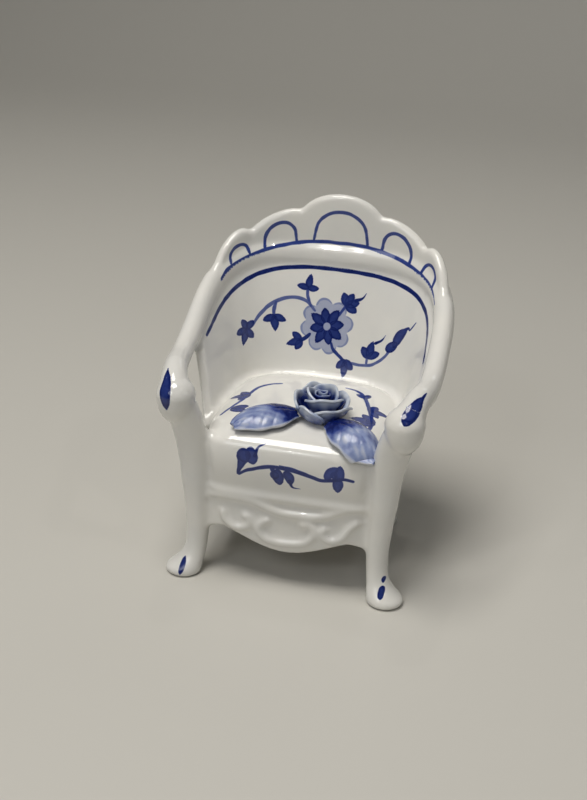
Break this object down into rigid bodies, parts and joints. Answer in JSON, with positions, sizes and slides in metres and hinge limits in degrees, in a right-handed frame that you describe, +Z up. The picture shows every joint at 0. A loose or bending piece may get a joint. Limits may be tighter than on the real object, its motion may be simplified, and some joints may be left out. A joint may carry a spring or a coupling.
{
  "type": "porcelain armchair figurine",
  "caption": "Miniature glazed porcelain barrel armchair with scalloped crest, rolled arms, curved legs, and an applied rose with leaves on the domed seat.",
  "frame": {"origin": "middle of the footprint on the surface the chair stands on", "axes": "+Z up, the chair faces -Y, +X to the right of a person looking at its front"},
  "size_m": [0.062, 0.0566, 0.08],
  "materials": {
    "porcelain": "clear gloss glaze over white porcelain, with hand-painted cobalt blue",
    "rose_glaze": "gloss glaze over pale cobalt wash, darker in the folds",
    "leaf_glaze": "gloss glaze over brushed cobalt, fading towards the tip",
    "bisque": "unglazed fired porcelain, matt"
  },
  "bodies": {
    "root": {"seat_cushion": "porcelain", "seat_floor": "bisque", "front_apron": "porcelain", "rear_apron": "porcelain", "left_apron": "porcelain", "right_apron": "porcelain", "apron_bead": "porcelain", "centre_scrolls": "porcelain", "left_scroll": "porcelain", "right_scroll": "porcelain", "side_scrolls": "porcelain", "back_shell": "porcelain", "back_roll": "porcelain", "crest": "porcelain", "left_arm": "porcelain", "right_arm": "porcelain", "left_hand_rest": "porcelain", "right_hand_rest": "porcelain", "left_arm_post": "porcelain", "right_arm_post": "porcelain", "front_left_leg": "porcelain", "front_right_leg": "porcelain", "rear_left_leg": "porcelain", "rear_right_leg": "porcelain", "rose_base": "rose_glaze", "rose_heart": "rose_glaze", "inner_petal_1": "rose_glaze", "inner_petal_2": "rose_glaze", "inner_petal_3": "rose_glaze", "outer_petal_1": "rose_glaze", "outer_petal_2": "rose_glaze", "outer_petal_3": "rose_glaze", "outer_petal_4": "rose_glaze", "outer_petal_5": "rose_glaze", "left_leaf": "leaf_glaze", "right_leaf": "leaf_glaze"}
  },
  "joints": []
}
